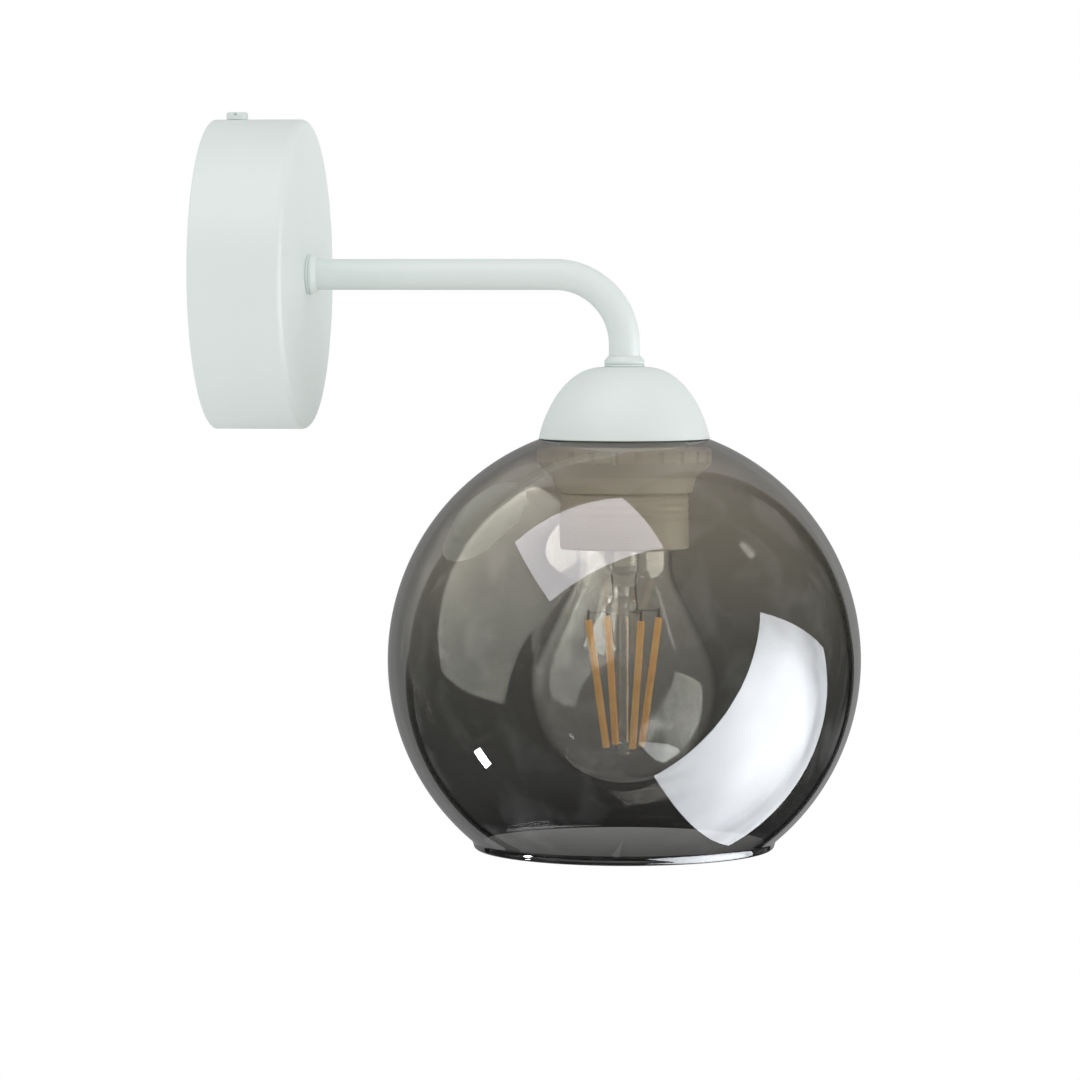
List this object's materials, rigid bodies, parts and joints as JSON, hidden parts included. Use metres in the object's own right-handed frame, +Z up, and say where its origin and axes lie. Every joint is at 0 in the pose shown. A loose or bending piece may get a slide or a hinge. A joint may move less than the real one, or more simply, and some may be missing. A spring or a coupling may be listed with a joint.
{
  "type": "globe wall sconce",
  "caption": "Wall light: round dish canopy, bent tube arm, small domed cap and an open-mouthed smoked glass globe round a screw-in filament bulb.",
  "frame": {"origin": "centre of the canopy's rim on the wall, on the axis of the arm where it leaves the canopy", "axes": "+Y into the wall, so the lamp stands out along -Y; +Z up; +X to the right for someone who faces the wall"},
  "size_m": [0.1524, 0.2092, 0.2372],
  "materials": {
    "powder_coat": "fine matt powder coat, pale mint white",
    "zinc_steel": "bright zinc plate",
    "brass": "plain turned or pressed brass",
    "tinned_copper": "tinned, crimped",
    "green_yellow_pvc": "green and yellow insulation",
    "brown_pvc": "brown insulation",
    "blue_pvc": "blue insulation",
    "terminal_plastic": "moulded, natural white",
    "holder_plastic": "moulded, satin",
    "holder_ceramic": "pressed steatite, unglazed",
    "smoked_glass": "smoked blown glass, darker towards the mouth",
    "clear_glass": "clear thin glass",
    "solder": "solder",
    "black_glass": "black vitrified insulation",
    "cap_nickel": "nickel-plated, rolled thread",
    "support_steel": "fine drawn wire",
    "amber_phosphor": "amber phosphor coating",
    "board_green": "coated board"
  },
  "bodies": {
    "fixture": {"wall_canopy": "powder_coat", "mounting_bracket": "zinc_steel", "canopy_screw": "powder_coat", "earth_screw": "brass", "earth_lug": "tinned_copper", "earth_wire": "green_yellow_pvc", "terminal_block": "terminal_plastic", "terminal_inserts": "brass", "terminal_screws": "zinc_steel", "block_screw": "zinc_steel", "live_wire": "brown_pvc", "neutral_wire": "blue_pvc", "arm_tube": "powder_coat", "arm_collar": "powder_coat", "arm_lock_washer": "zinc_steel", "arm_lock_nut": "zinc_steel", "dome_collar": "powder_coat", "dome_cap": "powder_coat", "dome_washer": "zinc_steel", "holder_cap": "holder_plastic", "holder_insert": "holder_ceramic", "holder_terminals": "brass", "holder_terminal_screws": "zinc_steel", "holder_shell": "brass", "holder_contact": "brass", "holder_skirt": "holder_plastic"},
    "glass": {"glass_globe": "smoked_glass"},
    "ring": {"shade_ring": "holder_plastic"},
    "bulb_carrier": {"bulb_insulator": "black_glass"},
    "bulb": {"bulb_contact": "solder", "bulb_cap": "cap_nickel", "bulb_envelope": "clear_glass", "bulb_stem": "clear_glass", "bulb_support_wires": "support_steel", "bulb_filaments": "amber_phosphor", "bulb_driver": "board_green"}
  },
  "joints": [
    {"name": "glass_drop", "type": "slide", "parent": "fixture", "child": "glass", "axis": [0, 0, -1], "range_m": [0, 0.02]},
    {"name": "ring_turn", "type": "hinge", "parent": "glass", "child": "ring", "pos_m": [0, -0.133, -0.0605], "axis": [0, 0, -1], "range_deg": [0, 2881]},
    {"name": "bulb_travel", "type": "slide", "parent": "fixture", "child": "bulb_carrier", "axis": [0, 0, -1], "range_m": [0, 0.0145]},
    {"name": "bulb_turn", "type": "hinge", "parent": "bulb_carrier", "child": "bulb", "pos_m": [0, -0.133, -0.0614], "axis": [0, 0, -1], "range_deg": [0, 1440]}
  ],
  "couplings": [
    {"joint": "ring_turn", "follows": "glass_drop", "rad_per_m": 2513.3},
    {"joint": "bulb_turn", "follows": "bulb_travel", "rad_per_m": 1731.4}
  ]
}
